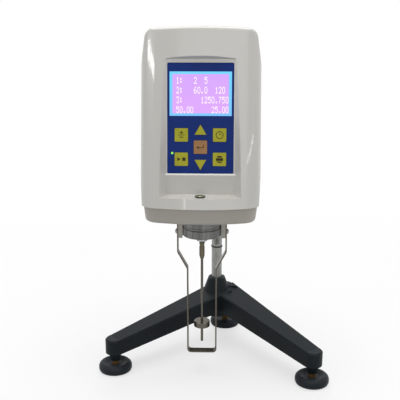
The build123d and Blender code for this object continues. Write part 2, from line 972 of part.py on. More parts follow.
# ---- inside the head
lower_plate_low = head_base + shell_wall
with BuildPart() as lower_plate:
    with BuildSketch(level(spindle_x, spindle_y, lower_plate_low)):
        with Locations((0, -lower_plate_forward)):
            RectangleRounded(lower_plate_width, lower_plate_depth, 8)
        Circle(bore_radius - 4, mode=Mode.SUBTRACT)
    extrude(amount=plate_thickness)
finish(lower_plate, "lower_plate")

pillar_places = [(x, y) for x in (-pillar_spread, pillar_spread) for y in (-pillar_spread, pillar_spread)]
pillar_low = lower_plate_low + plate_thickness
with BuildPart() as pillars:
    with BuildSketch(level(spindle_x, spindle_y, pillar_low)):
        with Locations(pillar_places):
            Circle(pillar_diameter / 2)
    extrude(amount=upper_plate_height - pillar_low)
finish(pillars, "pillars")

with BuildPart() as upper_plate:
    with BuildSketch(level(spindle_x, spindle_y, upper_plate_height)):
        RectangleRounded(upper_plate_size, upper_plate_size, 5)
        Circle(drive_shaft_diameter / 2 + 1, mode=Mode.SUBTRACT)
    extrude(amount=plate_thickness)
finish(upper_plate, "upper_plate")

motor_low = upper_plate_height + plate_thickness
motor_hole_depth = 10.0
with BuildPart() as drive_motor:
    with BuildSketch(level(spindle_x, spindle_y, motor_low)):
        RectangleRounded(motor_size, motor_size, 4)
    extrude(amount=motor_height)
    chamfer(drive_motor.edges().group_by(Axis.Z)[-1], length=1)
    with BuildSketch(level(spindle_x, spindle_y, motor_low)):
        Circle(drive_shaft_diameter / 2 + running_fit)
    extrude(amount=motor_hole_depth, mode=Mode.SUBTRACT)
finish(drive_motor, "drive_motor")


def encoder_disc(height, hub_height, bore):
    """A thin slotted disc on a small hub."""
    with BuildPart() as disc:
        with BuildSketch(level(spindle_x, spindle_y, height)):
            Circle(encoder_diameter / 2)
            Circle(bore, mode=Mode.SUBTRACT)
            with PolarLocations(encoder_diameter / 2 - encoder_slot_inset, encoder_slots):
                Rectangle(encoder_slot_length, encoder_slot_width, mode=Mode.SUBTRACT)
        extrude(amount=encoder_thickness)
        with BuildSketch(level(spindle_x, spindle_y, height)):
            Circle(encoder_hub_radius)
            Circle(bore, mode=Mode.SUBTRACT)
        extrude(amount=hub_height)
    return disc


drive_disc = encoder_disc(drive_disc_height, encoder_hub_height, drive_shaft_diameter / 2)
finish(drive_disc, "drive_disc")
pivot_disc = encoder_disc(pivot_disc_height, -encoder_hub_height, pivot_radius)
finish(pivot_disc, "pivot_disc")

spring_gap = 0.5
drive_shaft_low = pivot_top + 6.0
drive_shaft = turned(
    spindle_x,
    spindle_y,
    [
        (0, drive_shaft_low),
        (drive_shaft_diameter / 2, drive_shaft_low),
        (drive_shaft_diameter / 2, motor_low + motor_hole_depth - spring_gap),
        (0, motor_low + motor_hole_depth - spring_gap),
    ],
)
finish(drive_shaft, "drive_shaft")

# flat spiral spring below the drive disc, hanging from the drive shaft
spring_turns = 4
spring_inner = drive_shaft_diameter / 2 + 0.2
spring_outer = 13.0
spring_height = 3.0
spring_strip = 0.8
spring_low = drive_shaft_low + 1.0
spring_points = [
    (
        (spring_inner + (spring_outer - spring_inner) * step / (12 * spring_turns))
        * cos(2 * pi * step / 12),
        (spring_inner + (spring_outer - spring_inner) * step / (12 * spring_turns))
        * sin(2 * pi * step / 12),
    )
    for step in range(12 * spring_turns + 1)
]
with BuildPart() as torsion_spring:
    with BuildSketch(level(spindle_x, spindle_y, spring_low)):
        with BuildLine():
            Spline(*spring_points)
        trace(line_width=spring_strip)
        Circle(drive_shaft_diameter / 2, mode=Mode.SUBTRACT)
    extrude(amount=spring_height)
finish(torsion_spring, "torsion_spring")

# optical sensor: a forked block on the upper plate that straddles the drive disc
sensor_depth = 12.0
sensor_drop = 6.0
sensor_width = 10.0
sensor_gap = 3.0
sensor_reach = 8.0
with BuildPart() as optical_sensor:
    with BuildSketch(facing_right(spindle_x, spindle_y, 0)):
        sensor_low = drive_disc_height - sensor_drop
        with Locations((encoder_diameter / 2 + 1, (sensor_low + upper_plate_height) / 2)):
            Rectangle(sensor_depth, upper_plate_height - sensor_low)
        with Locations((encoder_diameter / 2 - 2, drive_disc_height + encoder_thickness / 2)):
            Rectangle(sensor_reach, sensor_gap, mode=Mode.SUBTRACT)
    extrude(amount=sensor_width / 2, both=True)
finish(optical_sensor, "optical_sensor")

# main circuit board on four posts from the back wall
board_side = 42.0
board_low = 272.0
board_high = 352.0
board_gap = 9.0
post_radius = 3.2
post_side = 36.0
post_inset = 6.0
chip_size = 15.0
chip_height = 4.0
chip_places = [(-20, board_low + 58), (18, board_low + 54), (-16, board_low + 20), (20, board_low + 22)]
board_y = back_y - shell_wall - board_gap
post_places = [
    (side, height) for side in (-post_side, post_side)
    for height in (board_low + post_inset, board_high - post_inset)
]
with BuildPart() as main_board:
    with BuildSketch(facing_back(spindle_x, board_y, 0)):
        with Locations((0, (board_low + board_high) / 2)):
            Rectangle(2 * board_side, board_high - board_low)
    extrude(amount=-board_thickness)
    with BuildSketch(facing_back(spindle_x, board_y - board_thickness, 0)):
        with Locations(chip_places):
            Rectangle(chip_size, chip_size)
    extrude(amount=-chip_height)
finish(main_board, "main_board")

with BuildPart() as board_posts:
    with BuildSketch(facing_back(spindle_x, board_y, 0)):
        with Locations(post_places):
            RegularPolygon(post_radius, 6)
    extrude(amount=board_gap)
finish(board_posts, "board_posts")

# ---- mounting flange and stub on the back of the head
with BuildPart() as mount_flange:
    with BuildSketch(facing_back(spindle_x, back_y, stub_height)):
        Circle(flange_diameter / 2)
        with PolarLocations(flange_screw_circle / 2, 4, start_angle=45):
            Circle(flange_screw_diameter / 2, mode=Mode.SUBTRACT)
    extrude(amount=flange_thickness)
    fillet(mount_flange.edges().group_by(Axis.Y)[-1].sort_by(SortBy.LENGTH)[-1:], radius=flange_round)
    with BuildSketch(facing_back(spindle_x, back_y, stub_height)):
        Circle(stub_diameter / 2)
    extrude(amount=block_back + 1 - head_back)
    chamfer(mount_flange.edges().group_by(Axis.Y)[-1], length=1)
finish(mount_flange, "mount_flange")

with BuildPart() as flange_screws:
    with BuildSketch(facing_back(spindle_x, back_y + flange_thickness, stub_height)):
        with PolarLocations(flange_screw_circle / 2, 4, start_angle=45):
            Circle(flange_screw_head / 2)
    extrude(amount=flange_screw_head_height)
    with BuildSketch(facing_back(spindle_x, back_y + flange_thickness, stub_height)):
        with PolarLocations(flange_screw_circle / 2, 4, start_angle=45):
            Circle(flange_screw_diameter / 2)
            Circle(flange_screw_core / 2, mode=Mode.SUBTRACT)
    extrude(amount=-flange_thickness - shell_wall - 2)
finish(flange_screws, "flange_screws")

# ---- lift block: the column runs through it upright, the stub from front to back
pinion_cavity = pitch_radius + gear_module + 0.6
clamp_screw_diameter = 6.0
with BuildPart() as lift_block:
    with BuildSketch(level(spindle_x, spindle_y, block_low)):
        with BuildLine():
            Polyline(
                (block_left, block_front),
                (block_right, block_front),
                (block_right, block_back),
                (block_left, block_back),
                close=True,
            )
        make_face()
    extrude(amount=block_high - block_low)
    fillet(lift_block.edges().filter_by(Axis.Z), radius=block_round)
    end_edges = lift_block.edges().group_by(Axis.Z)[0] + lift_block.edges().group_by(Axis.Z)[-1]
    chamfer(end_edges, length=block_edge)
    with BuildSketch(level(column_x, column_y, block_low)):
        Circle(column_diameter / 2 + running_fit)
    extrude(amount=block_high - block_low, mode=Mode.SUBTRACT)
    with BuildSketch(facing_back(spindle_x, spindle_y, stub_height)):
        Circle(stub_diameter / 2 + running_fit)
    extrude(amount=2 * block_back, mode=Mode.SUBTRACT)
    with BuildSketch(facing_right(column_x, pinion_y, pinion_height)):
        Circle(pinion_cavity)
    extrude(amount=pinion_width / 2 + 1, both=True, mode=Mode.SUBTRACT)
    with BuildSketch(facing_right(spindle_x, pinion_y, pinion_height)):
        Circle(pinion_shaft_diameter / 2 + running_fit)
    extrude(amount=2 * block_right, both=True, mode=Mode.SUBTRACT)
    with BuildSketch(facing_right(spindle_x, (spindle_y + (block_front + block_back) / 2), stub_height)):
        Circle(clamp_screw_diameter / 2 + running_fit)
    extrude(amount=2 * block_left, mode=Mode.SUBTRACT)
    with BuildSketch(facing_back(column_x, column_y, lock_height)):
        Circle(clamp_screw_diameter / 2 + running_fit)
    extrude(amount=2 * block_right, mode=Mode.SUBTRACT)
finish(lift_block, "lift_block")

# ---- column with the rack cut into its front
tooth_slope = tan(radians(pressure_angle))
rack_face_y = column_y - column_diameter / 2
gap_half_at_tip = tooth_pitch / 4 + gear_module * tooth_slope + backlash / 2
gap_half_at_root = tooth_pitch / 4 - 1.25 * gear_module * tooth_slope + backlash / 2
gaps_below = int((pinion_height - rack_low) / tooth_pitch)
gaps_above = int((rack_high - pinion_height) / tooth_pitch)
spigot_bottom = 31.0
column_seat = 44.0
with BuildPart() as column:
    with BuildSketch(level(column_x, column_y, column_seat)):
        Circle(column_diameter / 2)
    extrude(amount=column_top - column_seat)
    chamfer(column.edges().group_by(Axis.Z)[-1], length=1)
    with BuildSketch(level(column_x, column_y, spigot_bottom)):
        Circle(column_spigot / 2)
    extrude(amount=column_seat - spigot_bottom)
    with BuildSketch(facing_right(column_x, rack_face_y, pinion_height)):
        with Locations([(0, k * tooth_pitch) for k in range(-gaps_below, gaps_above + 1)]):
            Polygon(
                (-0.5, gap_half_at_tip + 0.5 * tooth_slope),
                (2.25 * gear_module, gap_half_at_root),
                (2.25 * gear_module, -gap_half_at_root),
                (-0.5, -gap_half_at_tip - 0.5 * tooth_slope),
                align=None,
            )
    extrude(amount=column_diameter / 2, both=True, mode=Mode.SUBTRACT)
finish(column, "column")

with BuildPart() as stop_ring:
    with BuildSketch(level(column_x, column_y, stop_ring_low)):
        Circle(stop_ring_diameter / 2)
        Circle(column_diameter / 2, mode=Mode.SUBTRACT)
    extrude(amount=stop_ring_height)
finish(stop_ring, "stop_ring")


# ---- pinion with involute teeth, its shaft and the lift knob
def involute_point(base, roll, start):
    """Point on an involute of the base circle after rolling by an angle."""
    return (
        base * (cos(start + roll) + roll * sin(start + roll)),
        base * (sin(start + roll) - roll * cos(start + roll)),
    )


base_radius = pitch_radius * cos(radians(pressure_angle))
tip_radius = pitch_radius + gear_module
root_radius = pitch_radius - 1.25 * gear_module
pitch_roll = tan(radians(pressure_angle))
tip_roll = ((tip_radius / base_radius) ** 2 - 1) ** 0.5
half_tooth = pi / (2 * pinion_teeth) - backlash / (2 * pitch_radius)
flank_start = -half_tooth - (pitch_roll - radians(pressure_angle))
flank_steps = 4
lower_flank = [
    involute_point(base_radius, tip_roll * step / flank_steps, flank_start)
    for step in range(flank_steps + 1)
]
upper_flank = [(x, -y) for x, y in reversed(lower_flank)]
tooth_foot = root_radius - 0.5
tooth_foot_half = lower_flank[0][1] * tooth_foot / base_radius
tooth_outline = [
    (tooth_foot, tooth_foot_half),
    *lower_flank,
    *upper_flank,
    (tooth_foot, -tooth_foot_half),
]
with BuildPart() as pinion:
    with BuildSketch(facing_right(column_x, pinion_y, pinion_height)):
        Circle(root_radius)
        with PolarLocations(0, pinion_teeth):
            Polygon(*tooth_outline, align=None)
        Circle(pinion_shaft_diameter / 2, mode=Mode.SUBTRACT)
    extrude(amount=pinion_width / 2, both=True)
finish(pinion, "pinion")

knob_x = spindle_x + block_right + knob_clearance
with BuildPart() as pinion_shaft:
    with BuildSketch(facing_right(spindle_x + block_left + 2, pinion_y, pinion_height)):
        Circle(pinion_shaft_diameter / 2)
    extrude(amount=block_right - block_left + knob_clearance + lift_knob_length - 6)
finish(pinion_shaft, "pinion_shaft")


def knob(plane, diameter, length, bore, bore_depth, flutes):
    """A fluted hand knob that grows along its plane's normal from a blind bore."""
    with BuildPart() as piece:
        with BuildSketch(plane):
            Circle(diameter / 2)
            with PolarLocations(diameter / 2 + flute_rise, flutes):
                Circle(lift_flute_radius, mode=Mode.SUBTRACT)
        extrude(amount=length)
        with BuildSketch(plane):
            Circle(bore / 2)
        extrude(amount=bore_depth, mode=Mode.SUBTRACT)
    return piece


lift_knob = knob(
    facing_right(knob_x, pinion_y, pinion_height),
    lift_knob_diameter,
    lift_knob_length,
    pinion_shaft_diameter,
    lift_knob_length - 4,
    knob_flutes,
)
finish(lift_knob, "lift_knob")

def screw_knob(plane, screw_length):
    """A small fluted knob moulded on a screw that reaches back through the block."""
    with BuildPart() as piece:
        with BuildSketch(plane):
            Circle(clamp_knob_diameter / 2)
            with PolarLocations(clamp_knob_diameter / 2 + flute_rise, clamp_knob_flutes):
                Circle(clamp_flute_radius, mode=Mode.SUBTRACT)
        extrude(amount=clamp_knob_length)
        with BuildSketch(plane):
            Circle(clamp_screw_diameter / 2)
        extrude(amount=-screw_length)
    return piece


# clamp knob on the left that grips the stub, lock knob at the back that grips the column
grip_gap = 0.4
left_plane = Plane(
    origin=(
        spindle_x + block_left - knob_clearance,
        spindle_y + (block_front + block_back) / 2,
        stub_height,
    ),
    x_dir=(0, 1, 0),
    z_dir=(-1, 0, 0),
)
clamp_length = knob_clearance - block_left - stub_diameter / 2 - grip_gap
clamp_knob = screw_knob(left_plane, clamp_length)
finish(clamp_knob, "clamp_knob")

back_plane = facing_back(column_x, spindle_y + block_back + knob_clearance, lock_height)
lock_length = knob_clearance + (spindle_y + block_back - column_y) - column_diameter / 2 - grip_gap
lock_knob = screw_knob(back_plane, lock_length)
finish(lock_knob, "lock_knob")

# ---- base casting: a hub, two long arms and a short tail, each ending over a foot
arm_turns = {
    "left": -90 - arm_half_angle + base_turn,
    "right": -90 + arm_half_angle + base_turn,
    "rear": 90 + base_turn,
}
arm_lengths = {"left": arm_length, "right": arm_length, "rear": tail_length}


def foot_place(name):
    turn = radians(arm_turns[name])
    return (
        vertex_x + arm_lengths[name] * cos(turn),
        vertex_y + arm_lengths[name] * sin(turn),
    )


def arm_section(half, low, high):
    """Section of an arm: upright sides and a wide flat top with broken edges."""
    with BuildSketch() as section:
        Polygon(
            (-half, low),
            (half, low),
            (half, high - arm_edge),
            (half - arm_edge, high),
            (arm_edge - half, high),
            (-half, high - arm_edge),
            align=None,
        )
    return section.sketch


def arm_end_heights(name):
    """Underside and top of an arm over its foot; the short tail stays taller."""
    if name == "rear":
        return arm_end_low, tail_end_top
    return arm_end_low, arm_end_top


def arm(name):
    """One arm from the hub to its foot, with a round nose and the foot's neck."""
    turn = radians(arm_turns[name])
    along = (cos(turn), sin(turn), 0)
    across = (-sin(turn), cos(turn), 0)
    foot_x, foot_y = foot_place(name)
    low, high = arm_end_heights(name)
    with BuildPart() as piece:
        with BuildSketch(Plane(origin=(vertex_x, vertex_y, 0), x_dir=across, z_dir=along)):
            add(arm_section(arm_hub_half, arm_hub_low, arm_hub_top))
        with BuildSketch(Plane(origin=(foot_x, foot_y, 0), x_dir=across, z_dir=along)):
            add(arm_section(arm_end_half, low, high))
        loft(ruled=True)
        add(
            turned(
                foot_x,
                foot_y,
                [
                    (0, neck_bottom),
                    (neck_foot_diameter / 2, neck_bottom),
                    (neck_diameter / 2, low),
                    (arm_end_half, low),
                    (arm_end_half, high - arm_edge),
                    (arm_end_half - arm_edge, high),
                    (0, high),
                ],
            ).part
        )
    return piece.part


hub = turned(
    column_x,
    column_y,
    [
        (0, hub_low),
        (hub_low_radius, hub_low),
        (hub_low_radius, hub_low + hub_rim),
        (hub_high_radius, hub_high),
        (0, hub_high),
    ],
)
with BuildPart() as base:
    add(hub.part)
    for arm_name in arm_turns:
        add(arm(arm_name))
    with BuildSketch(level(column_x, column_y, column_seat)):
        Circle(column_diameter / 2)
    extrude(amount=hub_high, mode=Mode.SUBTRACT)
    with BuildSketch(level(column_x, column_y, 0)):
        Circle(column_spigot / 2)
    extrude(amount=column_seat + 1, mode=Mode.SUBTRACT)
    with BuildSketch(level(column_x, column_y, 0)):
        Circle(nut_pocket_diameter / 2)
    extrude(amount=nut_seat, mode=Mode.SUBTRACT)
    for arm_name in arm_turns:
        with BuildSketch(level(*foot_place(arm_name), 0)):
            Circle(stud_diameter / 2 + running_fit)
        extrude(amount=stud_top + 1, mode=Mode.SUBTRACT)
finish(base, "base")

with BuildPart() as column_nut:
    with BuildSketch(level(column_x, column_y, nut_seat)):
        Circle(nut_pocket_diameter / 2 - 1)
        Circle(column_spigot / 2, mode=Mode.SUBTRACT)
    extrude(amount=-washer_thickness)
    with BuildSketch(level(column_x, column_y, nut_seat - washer_thickness)):
        RegularPolygon(nut_across / 2, 6, major_radius=False)
        Circle(column_spigot / 2, mode=Mode.SUBTRACT)
    extrude(amount=-nut_height)
finish(column_nut, "column_nut")

# ---- levelling feet: a round thumb wheel with a full rim, a dished top and its stud
foot_radius = foot_diameter / 2
stud_radius = stud_diameter / 2
for arm_name in arm_turns:
    foot_x, foot_y = foot_place(arm_name)
    foot = turned(
        foot_x,
        foot_y,
        [
            (0, 0),
            (foot_radius - foot_rim, 0),
            (foot_radius - foot_rim * 0.3, foot_rim * 0.3),
            (foot_radius, foot_rim),
            (foot_radius, foot_height - 1.6 * foot_rim),
            (foot_radius - foot_rim * 0.25, foot_height - 0.9 * foot_rim),
            (foot_radius - foot_rim * 0.8, foot_height - 0.35 * foot_rim),
            (foot_radius - foot_rim * 1.5, foot_height - 0.05 * foot_rim),
            (foot_radius - foot_rim * 2, foot_height - 0.1 * foot_dish),
            (stud_radius + foot_boss, foot_height - foot_dish),
            (stud_radius, foot_height - foot_dish),
            (stud_radius, stud_top - 1),
            (stud_radius - 1, stud_top),
            (0, stud_top),
        ],
    )
    finish(foot, f"foot_{arm_name}")
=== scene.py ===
import json
import math
import bpy
import bmesh
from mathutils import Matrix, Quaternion, Vector


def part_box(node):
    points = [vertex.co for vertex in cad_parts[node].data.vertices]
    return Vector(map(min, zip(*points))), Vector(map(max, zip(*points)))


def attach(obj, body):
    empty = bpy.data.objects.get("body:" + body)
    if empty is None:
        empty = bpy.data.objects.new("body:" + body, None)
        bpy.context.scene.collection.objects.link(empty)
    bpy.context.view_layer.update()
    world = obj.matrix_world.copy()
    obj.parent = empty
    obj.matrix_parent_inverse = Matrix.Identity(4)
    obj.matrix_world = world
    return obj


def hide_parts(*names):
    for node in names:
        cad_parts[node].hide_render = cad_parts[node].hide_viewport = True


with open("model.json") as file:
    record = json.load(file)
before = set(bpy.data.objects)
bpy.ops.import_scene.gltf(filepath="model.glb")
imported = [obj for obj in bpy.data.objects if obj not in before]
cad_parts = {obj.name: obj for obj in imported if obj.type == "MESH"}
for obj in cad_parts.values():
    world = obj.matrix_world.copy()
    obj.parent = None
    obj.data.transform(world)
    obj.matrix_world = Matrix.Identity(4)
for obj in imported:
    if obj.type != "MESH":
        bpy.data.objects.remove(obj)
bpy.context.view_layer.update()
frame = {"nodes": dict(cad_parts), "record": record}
cadNodes = frame["nodes"]
mm = 0.001
print("frame loaded,", len(cadNodes), "nodes")


# shader helpers: every finish reads Object coordinates, in metres

def linear(red, green, blue):
    # screen colour, 0 to 255, as the linear colour a shader takes
    return tuple((c / 255 / 12.92) if c < 11 else ((c / 255 + 0.055) / 1.055) ** 2.4
                 for c in (red, green, blue))


def shade(colour, factor):
    return tuple(min(1.0, c * factor) for c in colour)


def startMaterial(name, colour, roughness, metallic=0.0, **sockets):
    material = bpy.data.materials.new(name)
    material.use_nodes = True
    tree = material.node_tree
    shader = tree.nodes["Principled BSDF"]
    shader.inputs["Base Color"].default_value = (*colour, 1)
    shader.inputs["Roughness"].default_value = roughness
    shader.inputs["Metallic"].default_value = metallic
    for socket, value in sockets.items():
        shader.inputs[socket.replace("_", " ")].default_value = value
    material.diffuse_color = (*colour, 1)
    return material, tree, shader


def noise(tree, grain, stretch=(1, 1, 1), detail=3.0):
    # grain is the size of one grain in metres
    place = tree.nodes.new("ShaderNodeTexCoord")
    mapping = tree.nodes.new("ShaderNodeMapping")
    mapping.inputs["Scale"].default_value = [s / grain for s in stretch]
    texture = tree.nodes.new("ShaderNodeTexNoise")
    texture.inputs["Scale"].default_value = 1.0
    texture.inputs["Detail"].default_value = detail
    tree.links.new(place.outputs["Object"], mapping.inputs["Vector"])
    tree.links.new(mapping.outputs["Vector"], texture.inputs["Vector"])
    return texture.outputs["Fac"]


def spread(tree, source, low, high, fromLow=0.3, fromHigh=0.7):
    node = tree.nodes.new("ShaderNodeMapRange")
    for socket, value in (("From Min", fromLow), ("From Max", fromHigh),
                          ("To Min", low), ("To Max", high)):
        node.inputs[socket].default_value = value
    tree.links.new(source, node.inputs["Value"])
    return node.outputs["Result"]


def tint(tree, factor, first, second):
    node = tree.nodes.new("ShaderNodeMix")
    node.data_type = "RGBA"
    tree.links.new(factor, node.inputs[0])
    for index, value in ((6, first), (7, second)):
        if isinstance(value, tuple):
            node.inputs[index].default_value = (*value, 1)
        else:
            tree.links.new(value, node.inputs[index])
    return node.outputs[2]


def relief(tree, shader, height, depth):
    bump = tree.nodes.new("ShaderNodeBump")
    bump.inputs["Strength"].default_value = 1.0
    bump.inputs["Distance"].default_value = depth
    tree.links.new(height, bump.inputs["Height"])
    tree.links.new(bump.outputs["Normal"], shader.inputs["Normal"])


def height(tree):
    # a surface point's height above the bench, in metres
    place = tree.nodes.new("ShaderNodeTexCoord")
    split = tree.nodes.new("ShaderNodeSeparateXYZ")
    tree.links.new(place.outputs["Object"], split.inputs["Vector"])
    return split.outputs["Z"]


def mouldedPlastic(name, colour, roughness, grain=0.0009, depth=0.000003, mottle=0.03,
                   **sockets):
    # moulded or painted shell: faint mottling, orange-peel relief, worn gloss
    material, tree, shader = startMaterial(name, colour, roughness, **sockets)
    patches = noise(tree, 0.05, detail=4.0)
    mottled = tint(tree, spread(tree, patches, 0, 1), shade(colour, 1 - mottle),
                   shade(colour, 1 + mottle))
    tree.links.new(mottled, shader.inputs["Base Color"])
    gloss = noise(tree, 0.012, detail=5.0)
    tree.links.new(spread(tree, gloss, roughness * 0.94, roughness * 1.08),
                   shader.inputs["Roughness"])
    relief(tree, shader, noise(tree, grain, detail=2.0), depth)
    return material


def turnedMetal(name, colour, roughness, groove=0.00018, depth=0.000012,
                stretch=(0.02, 0.02, 1), bandToneAndReflection=0.11):
    # lathe or brushing marks: fine lines across the stretched axis, with duller and brighter
    # bands: a small contrast is the metal's own uneven tone, a large one is painted reflection
    material, tree, shader = startMaterial(name, colour, roughness, 1.0)
    lines = noise(tree, groove, stretch, detail=4.0)
    bands = noise(tree, groove * 9, stretch, detail=3.0)
    toneAndReflectionBands = tint(tree, spread(tree, bands, 0, 1), shade(colour, 0.97 - bandToneAndReflection),
                  shade(colour, 0.97 + bandToneAndReflection))
    tree.links.new(toneAndReflectionBands, shader.inputs["Base Color"])
    tree.links.new(spread(tree, lines, roughness * 0.75, roughness * 1.35),
                   shader.inputs["Roughness"])
    relief(tree, shader, lines, depth)
    return material


def castPaint(name, colour, roughness, grain=0.0007, depth=0.00005):
    # satin paint over a casting: speckle, soft unevenness, rubbed patches a little shinier
    material, tree, shader = startMaterial(name, colour, roughness, Specular_IOR_Level=0.1)
    speckle = noise(tree, grain, detail=4.0)
    patches = noise(tree, 0.03, detail=4.0)
    worn = tint(tree, spread(tree, patches, 0, 1), shade(colour, 0.8), shade(colour, 1.25))
    tree.links.new(tint(tree, spread(tree, speckle, 0, 0.35, 0.5, 0.75), worn, shade(colour, 2.2)),
                   shader.inputs["Base Color"])
    tree.links.new(spread(tree, patches, roughness * 0.85, roughness * 1.2),
                   shader.inputs["Roughness"])
    relief(tree, shader, speckle, depth)
    return material


def footPaint(name, colour, stud, middle, studRadius):
    # the casting's paint, with the bare stud told apart by its distance from the foot's axis
    material = castPaint(name, colour, 0.4)
    tree, shader = material.node_tree, material.node_tree.nodes["Principled BSDF"]
    place = tree.nodes.new("ShaderNodeTexCoord")
    flat = tree.nodes.new("ShaderNodeVectorMath")
    flat.operation = "MULTIPLY"
    flat.inputs[1].default_value = (1, 1, 0)
    apart = tree.nodes.new("ShaderNodeVectorMath")
    apart.operation = "DISTANCE"
    apart.inputs[1].default_value = (*middle, 0)
    tree.links.new(place.outputs["Object"], flat.inputs[0])
    tree.links.new(flat.outputs[0], apart.inputs[0])
    bare = spread(tree, apart.outputs["Value"], 1, 0, studRadius, studRadius * 1.05)
    paint = shader.inputs["Base Color"].links[0].from_socket
    tree.links.new(tint(tree, bare, paint, stud), shader.inputs["Base Color"])
    tree.links.new(bare, shader.inputs["Metallic"])
    return material


def printedFilm(name, colour, roughness=0.34):
    # printed overlay film: fine matt grain under a soft sheen
    material, tree, shader = startMaterial(name, colour, roughness, Specular_IOR_Level=0.12)
    ink = noise(tree, 0.0004, detail=2.0)
    patches = noise(tree, 0.02, detail=3.0)
    inked = tint(tree, spread(tree, patches, 0, 1), shade(colour, 0.9), shade(colour, 1.1))
    tree.links.new(tint(tree, spread(tree, ink, 0, 0.2), inked, shade(colour, 1.5)),
                   shader.inputs["Base Color"])
    relief(tree, shader, noise(tree, 0.00025, detail=2.0), 0.000004)
    return material


def litDisplay(name, topColour, lowColour, lowest, highest, strength, dotPitch=0.0):
    # backlit glass: a gradient up the glass, uneven backlight, and the dot grid where
    # there is one
    material, tree, shader = startMaterial(name, shade(lowColour, 0.1), 0.18,
                                           Emission_Strength=strength)
    rise = spread(tree, height(tree), 0, 1, lowest, highest)
    glow = tint(tree, rise, lowColour, topColour)
    patches = noise(tree, 0.02, detail=2.0)
    glow = tint(tree, spread(tree, patches, 0, 0.35), glow, shade(topColour, 1.12))
    if dotPitch:
        place = tree.nodes.new("ShaderNodeTexCoord")
        grid = tree.nodes.new("ShaderNodeTexBrick")
        mapping = tree.nodes.new("ShaderNodeMapping")
        mapping.inputs["Rotation"].default_value = (math.radians(90), 0, 0)
        mapping.inputs["Scale"].default_value = [1 / dotPitch] * 3
        grid.offset = 0.0
        for socket, value in (("Scale", 1.0), ("Mortar Size", 0.06), ("Brick Width", 1.0),
                              ("Row Height", 1.3)):
            grid.inputs[socket].default_value = value
        tree.links.new(place.outputs["Object"], mapping.inputs["Vector"])
        tree.links.new(mapping.outputs["Vector"], grid.inputs["Vector"])
        glow = tint(tree, spread(tree, grid.outputs["Fac"], 0, 0.25, 0, 1), glow,
                    shade(topColour, 0.75))
    tree.links.new(glow, shader.inputs["Emission Color"])
    return material


def softRubber(name, colour):
    material, tree, shader = startMaterial(name, colour, 0.6, Specular_IOR_Level=0.35)
    dust = noise(tree, 0.006, detail=5.0)
    tree.links.new(tint(tree, spread(tree, dust, 0, 1), shade(colour, 0.75), shade(colour, 1.5)),
                   shader.inputs["Base Color"])
    tree.links.new(spread(tree, dust, 0.5, 0.72), shader.inputs["Roughness"])
    relief(tree, shader, noise(tree, 0.0004, detail=3.0), 0.00002)
    return material


def circuitBoard(name, colour):
    material, tree, shader = startMaterial(name, colour, 0.4, Coat_Weight=0.4,
                                           Coat_Roughness=0.2)
    weave = noise(tree, 0.0006, (1, 0.2, 1), detail=2.0)
    tracks = noise(tree, 0.004, (1, 0.2, 0.2), detail=1.0)
    base = tint(tree, spread(tree, weave, 0, 1), shade(colour, 0.8), shade(colour, 1.15))
    tree.links.new(tint(tree, spread(tree, tracks, 0, 0.6, 0.52, 0.56), base, shade(colour, 1.8)),
                   shader.inputs["Base Color"])
    relief(tree, shader, tracks, 0.00004)
    return material


def clearVial(name, colour):
    material, tree, shader = startMaterial(name, colour, 0.08, Transmission_Weight=0.35,
                                           IOR=1.45)
    swirl = noise(tree, 0.004, detail=2.0)
    tree.links.new(tint(tree, spread(tree, swirl, 0, 1), shade(colour, 0.85), shade(colour, 1.15)),
                   shader.inputs["Base Color"])
    tree.links.new(spread(tree, swirl, 0.05, 0.12), shader.inputs["Roughness"])
    return material


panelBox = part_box("control_panel")
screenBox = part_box("display_screen")
screenHeights = (screenBox[0][2], screenBox[1][2])
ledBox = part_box("status_led")
finishes = {
    "housing_white": mouldedPlastic("housingWhite", linear(206, 204, 198), 0.3, mottle=0.015,
                                    Coat_Weight=1.0, Coat_Roughness=0.055),
    "cover_taupe": mouldedPlastic("coverTaupe", linear(188, 182, 174), 0.42),
    "panel_blue": printedFilm("panelBlue", linear(24, 49, 120), 0.42),
    "display_border_blue": litDisplay("displayBorder", linear(96, 205, 255),
                                      linear(112, 190, 255), *screenHeights, 0.95),
    "display_violet": litDisplay("displayViolet", linear(206, 156, 252),
                                 linear(219, 160, 250), *screenHeights, 0.95,
                                 dotPitch=0.00044),
    "key_olive": printedFilm("keyOlive", linear(180, 177, 58), 0.42),
    "key_orange": printedFilm("keyOrange", linear(170, 128, 88), 0.42),
    "led_green": litDisplay("ledGreen", linear(165, 245, 90), linear(90, 215, 30),
                            ledBox[0][2], ledBox[1][2], 1.0),
    "board_green": circuitBoard("boardGreen", linear(28, 96, 58)),
    "black_plastic": mouldedPlastic("blackPlastic", linear(34, 34, 36), 0.4, grain=0.0005,
                                    depth=0.00002, mottle=0.15),
    "vial_green": clearVial("vialGreen", linear(150, 158, 132)),
    "chrome_ring": turnedMetal("chromeRing", linear(44, 45, 48), 0.25, depth=0.000003),
    "machined_alloy": turnedMetal("machinedAlloy", linear(176, 177, 180), 0.3),
    "bearing_brass": turnedMetal("bearingBrass", linear(190, 160, 100), 0.3),
    "stainless": turnedMetal("stainless", linear(96, 90, 82), 0.27, groove=0.0002,
                             stretch=(1, 1, 0.05)),
    "steel_column": turnedMetal("steelColumn", linear(143, 144, 140), 0.3, groove=0.0003,
                                stretch=(1, 1, 0.3)),
    "base_black": castPaint("baseBlack", linear(31, 36, 39), 0.42),
    "block_grey": castPaint("blockGrey", linear(92, 95, 98), 0.45),
    "black_rubber": softRubber("blackRubber", linear(16, 17, 18)),
    "screw_steel": turnedMetal("screwSteel", linear(150, 148, 144), 0.3, stretch=(1, 1, 1)),
    "spring_steel": turnedMetal("springSteel", linear(120, 122, 128), 0.3, stretch=(1, 1, 0.2)),
    "motor_black": castPaint("motorBlack", linear(36, 36, 38), 0.5),
}
